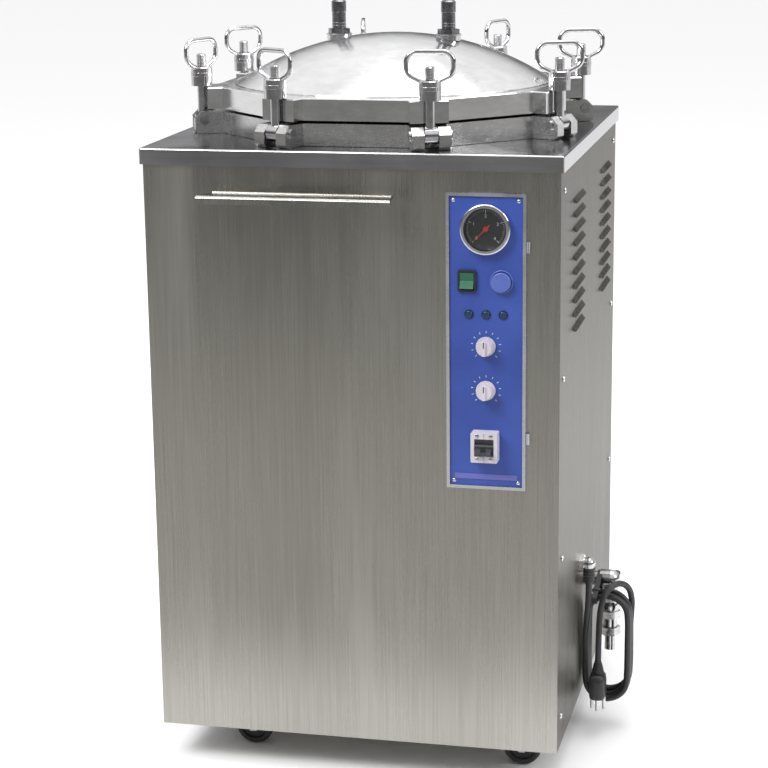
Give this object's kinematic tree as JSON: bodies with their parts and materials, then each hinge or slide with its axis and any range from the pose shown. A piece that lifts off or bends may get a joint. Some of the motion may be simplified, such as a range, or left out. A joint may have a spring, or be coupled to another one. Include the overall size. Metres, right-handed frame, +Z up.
{
  "type": "vertical steam sterilizer",
  "caption": "Floor-standing vertical autoclave on casters: square steel housing, round vessel, domed lid held by swing-bolt clamps, control panel, drain valve and cord.",
  "frame": {"origin": "on the floor, under the pressure vessel's axis", "axes": "+Z up, along the vessel's axis; -Y is the front with the control panel; +X is the user's right-hand side, with the drain valve and the cord"},
  "size_m": [0.5923, 0.574, 0.9964],
  "materials": {
    "housing_steel": "brushed",
    "cover_steel": "polished",
    "flange_steel": "satin",
    "lid_steel": "polished",
    "clamp_steel": "polished",
    "screw_steel": "polished",
    "inner_steel": "satin",
    "silicone": "matte",
    "caster_steel": "zinc",
    "caster_rubber": "matte",
    "panel_blue": "satin",
    "panel_silver": "satin",
    "gauge_black": "gloss",
    "gauge_red": "gloss",
    "clear_glass": "clear",
    "switch_black": "satin",
    "switch_green": "gloss",
    "button_blue": "gloss",
    "lamp_lens": "gloss",
    "knob_white": "satin",
    "valve_steel": "satin",
    "valve_dark": "satin",
    "lever_black": "satin",
    "cord_black": "matte",
    "plug_black": "satin"
  },
  "bodies": {
    "housing": {"base_plate": "housing_steel", "front_panel": "housing_steel", "left_side_panel": "housing_steel", "right_side_panel": "housing_steel", "rear_panel": "housing_steel", "top_cover": "cover_steel", "panel_screws": "screw_steel", "vessel": "flange_steel", "pivot_pins": "clamp_steel", "gasket": "silicone", "heating_element": "inner_steel", "basket": "inner_steel", "panel_frame": "panel_silver", "panel_plate": "panel_blue", "gauge_case": "gauge_black", "gauge_glass": "clear_glass", "rocker_surround": "switch_black", "indicator_lamps": "lamp_lens", "breaker_body": "knob_white", "drain_valve": "valve_steel", "cord_gland": "valve_steel", "power_cord_lead": "cord_black", "power_cord_tail": "cord_black", "power_cord_hank": "cord_black", "power_plug": "plug_black"},
    "lid": {"lid": "lid_steel", "safety_valve": "valve_dark", "vent_valve": "valve_dark"},
    "safety_valve_stem": {"safety_valve_stem": "valve_steel"},
    "rocker_switch": {"rocker_switch": "switch_green"},
    "push_button": {"push_button": "button_blue"},
    "temperature_knob": {"temperature_knob": "knob_white"},
    "timer_knob": {"timer_knob": "knob_white"},
    "breaker_toggle": {"breaker_toggle": "switch_black"},
    "gauge_needle": {"gauge_needle": "gauge_red"},
    "drain_lever": {"drain_lever": "lever_black"},
    "swing_bolt_1": {"swing_bolt_1": "clamp_steel"},
    "ring_nut_1": {"ring_nut_1": "clamp_steel"},
    "swing_bolt_2": {"swing_bolt_2": "clamp_steel"},
    "ring_nut_2": {"ring_nut_2": "clamp_steel"},
    "swing_bolt_3": {"swing_bolt_3": "clamp_steel"},
    "ring_nut_3": {"ring_nut_3": "clamp_steel"},
    "swing_bolt_4": {"swing_bolt_4": "clamp_steel"},
    "ring_nut_4": {"ring_nut_4": "clamp_steel"},
    "swing_bolt_5": {"swing_bolt_5": "clamp_steel"},
    "ring_nut_5": {"ring_nut_5": "clamp_steel"},
    "swing_bolt_6": {"swing_bolt_6": "clamp_steel"},
    "ring_nut_6": {"ring_nut_6": "clamp_steel"},
    "swing_bolt_7": {"swing_bolt_7": "clamp_steel"},
    "ring_nut_7": {"ring_nut_7": "clamp_steel"},
    "swing_bolt_8": {"swing_bolt_8": "clamp_steel"},
    "ring_nut_8": {"ring_nut_8": "clamp_steel"},
    "caster_fork_front_left": {"caster_fork_front_left": "caster_steel"},
    "caster_wheel_front_left": {"caster_wheel_front_left": "caster_rubber"},
    "caster_fork_front_right": {"caster_fork_front_right": "caster_steel"},
    "caster_wheel_front_right": {"caster_wheel_front_right": "caster_rubber"},
    "caster_fork_rear_left": {"caster_fork_rear_left": "caster_steel"},
    "caster_wheel_rear_left": {"caster_wheel_rear_left": "caster_rubber"},
    "caster_fork_rear_right": {"caster_fork_rear_right": "caster_steel"},
    "caster_wheel_rear_right": {"caster_wheel_rear_right": "caster_rubber"}
  },
  "joints": [
    {"name": "lid_lift", "type": "slide", "parent": "housing", "child": "lid", "axis": [0, 0, 1], "range_m": [0, 0.15]},
    {"name": "clamp_swing_1", "type": "hinge", "parent": "housing", "child": "swing_bolt_1", "pos_m": [0.23282, 0.09644, 0.8245], "axis": [-0.3827, 0.9239, 0], "range_deg": [0, 100]},
    {"name": "ring_nut_spin_1", "type": "hinge", "parent": "swing_bolt_1", "child": "ring_nut_1", "pos_m": [0.23282, 0.09644, 0.87], "axis": [0, 0, 1], "continuous": true},
    {"name": "clamp_swing_2", "type": "hinge", "parent": "housing", "child": "swing_bolt_2", "pos_m": [0.09644, 0.23282, 0.8245], "axis": [-0.9239, 0.3827, 0], "range_deg": [0, 100]},
    {"name": "ring_nut_spin_2", "type": "hinge", "parent": "swing_bolt_2", "child": "ring_nut_2", "pos_m": [0.09644, 0.23282, 0.87], "axis": [0, 0, 1], "continuous": true},
    {"name": "clamp_swing_3", "type": "hinge", "parent": "housing", "child": "swing_bolt_3", "pos_m": [-0.09644, 0.23282, 0.8245], "axis": [-0.9239, -0.3827, 0], "range_deg": [0, 100]},
    {"name": "ring_nut_spin_3", "type": "hinge", "parent": "swing_bolt_3", "child": "ring_nut_3", "pos_m": [-0.09644, 0.23282, 0.87], "axis": [0, 0, 1], "continuous": true},
    {"name": "clamp_swing_4", "type": "hinge", "parent": "housing", "child": "swing_bolt_4", "pos_m": [-0.23282, 0.09644, 0.8245], "axis": [-0.3827, -0.9239, 0], "range_deg": [0, 100]},
    {"name": "ring_nut_spin_4", "type": "hinge", "parent": "swing_bolt_4", "child": "ring_nut_4", "pos_m": [-0.23282, 0.09644, 0.87], "axis": [0, 0, 1], "continuous": true},
    {"name": "clamp_swing_5", "type": "hinge", "parent": "housing", "child": "swing_bolt_5", "pos_m": [-0.23282, -0.09644, 0.8245], "axis": [0.3827, -0.9239, 0], "range_deg": [0, 100]},
    {"name": "ring_nut_spin_5", "type": "hinge", "parent": "swing_bolt_5", "child": "ring_nut_5", "pos_m": [-0.23282, -0.09644, 0.87], "axis": [0, 0, 1], "continuous": true},
    {"name": "clamp_swing_6", "type": "hinge", "parent": "housing", "child": "swing_bolt_6", "pos_m": [-0.09644, -0.23282, 0.8245], "axis": [0.9239, -0.3827, 0], "range_deg": [0, 100]},
    {"name": "ring_nut_spin_6", "type": "hinge", "parent": "swing_bolt_6", "child": "ring_nut_6", "pos_m": [-0.09644, -0.23282, 0.87], "axis": [0, 0, 1], "continuous": true},
    {"name": "clamp_swing_7", "type": "hinge", "parent": "housing", "child": "swing_bolt_7", "pos_m": [0.09644, -0.23282, 0.8245], "axis": [0.9239, 0.3827, 0], "range_deg": [0, 100]},
    {"name": "ring_nut_spin_7", "type": "hinge", "parent": "swing_bolt_7", "child": "ring_nut_7", "pos_m": [0.09644, -0.23282, 0.87], "axis": [0, 0, 1], "continuous": true},
    {"name": "clamp_swing_8", "type": "hinge", "parent": "housing", "child": "swing_bolt_8", "pos_m": [0.23282, -0.09644, 0.8245], "axis": [0.3827, 0.9239, 0], "range_deg": [0, 100]},
    {"name": "ring_nut_spin_8", "type": "hinge", "parent": "swing_bolt_8", "child": "ring_nut_8", "pos_m": [0.23282, -0.09644, 0.87], "axis": [0, 0, 1], "continuous": true},
    {"name": "safety_valve_pull", "type": "slide", "parent": "lid", "child": "safety_valve_stem", "axis": [0, 0, 1], "range_m": [0, 0.004], "stiffness_N_per_m": 200},
    {"name": "caster_swivel_front_left", "type": "hinge", "parent": "housing", "child": "caster_fork_front_left", "pos_m": [-0.181, -0.181, 0.06], "axis": [0, 0, 1], "continuous": true},
    {"name": "caster_roll_front_left", "type": "hinge", "parent": "caster_fork_front_left", "child": "caster_wheel_front_left", "pos_m": [-0.158, -0.181, 0.025], "axis": [0, 1, 0], "continuous": true},
    {"name": "caster_swivel_front_right", "type": "hinge", "parent": "housing", "child": "caster_fork_front_right", "pos_m": [0.181, -0.181, 0.06], "axis": [0, 0, 1], "continuous": true},
    {"name": "caster_roll_front_right", "type": "hinge", "parent": "caster_fork_front_right", "child": "caster_wheel_front_right", "pos_m": [0.204, -0.181, 0.025], "axis": [0, 1, 0], "continuous": true},
    {"name": "caster_swivel_rear_left", "type": "hinge", "parent": "housing", "child": "caster_fork_rear_left", "pos_m": [-0.181, 0.181, 0.06], "axis": [0, 0, 1], "continuous": true},
    {"name": "caster_roll_rear_left", "type": "hinge", "parent": "caster_fork_rear_left", "child": "caster_wheel_rear_left", "pos_m": [-0.158, 0.181, 0.025], "axis": [0, 1, 0], "continuous": true},
    {"name": "caster_swivel_rear_right", "type": "hinge", "parent": "housing", "child": "caster_fork_rear_right", "pos_m": [0.181, 0.181, 0.06], "axis": [0, 0, 1], "continuous": true},
    {"name": "caster_roll_rear_right", "type": "hinge", "parent": "caster_fork_rear_right", "child": "caster_wheel_rear_right", "pos_m": [0.204, 0.181, 0.025], "axis": [0, 1, 0], "continuous": true},
    {"name": "temperature_knob_turn", "type": "hinge", "parent": "housing", "child": "temperature_knob", "pos_m": [0.17, -0.272, 0.574], "axis": [0, 1, 0], "range_deg": [0, 270]},
    {"name": "timer_knob_turn", "type": "hinge", "parent": "housing", "child": "timer_knob", "pos_m": [0.17, -0.272, 0.519], "axis": [0, 1, 0], "range_deg": [0, 300]},
    {"name": "rocker_tip", "type": "hinge", "parent": "housing", "child": "rocker_switch", "pos_m": [0.147, -0.263, 0.654], "axis": [1, 0, 0], "range_deg": [0, 18]},
    {"name": "button_press", "type": "slide", "parent": "housing", "child": "push_button", "axis": [0, 1, 0], "range_m": [0, 0.003], "stiffness_N_per_m": 400},
    {"name": "breaker_throw", "type": "hinge", "parent": "housing", "child": "breaker_toggle", "pos_m": [0.17, -0.274, 0.45], "axis": [1, 0, 0], "range_deg": [-64, 0]},
    {"name": "gauge_needle_turn", "type": "hinge", "parent": "housing", "child": "gauge_needle", "pos_m": [0.17, -0.265, 0.718], "axis": [0, 1, 0], "range_deg": [0, 270]},
    {"name": "drain_lever_turn", "type": "hinge", "parent": "housing", "child": "drain_lever", "pos_m": [0.292, 0.03, 0.154], "axis": [0, 1, 0], "range_deg": [0, 90]}
  ],
  "couplings": [
    {"joint": "clamp_swing_1", "follows": "lid_lift", "rad_per_m": 11.636},
    {"joint": "clamp_swing_2", "follows": "lid_lift", "rad_per_m": 11.636},
    {"joint": "clamp_swing_3", "follows": "lid_lift", "rad_per_m": 11.636},
    {"joint": "clamp_swing_4", "follows": "lid_lift", "rad_per_m": 11.636},
    {"joint": "clamp_swing_5", "follows": "lid_lift", "rad_per_m": 11.636},
    {"joint": "clamp_swing_6", "follows": "lid_lift", "rad_per_m": 11.636},
    {"joint": "clamp_swing_7", "follows": "lid_lift", "rad_per_m": 11.636},
    {"joint": "clamp_swing_8", "follows": "lid_lift", "rad_per_m": 11.636}
  ]
}
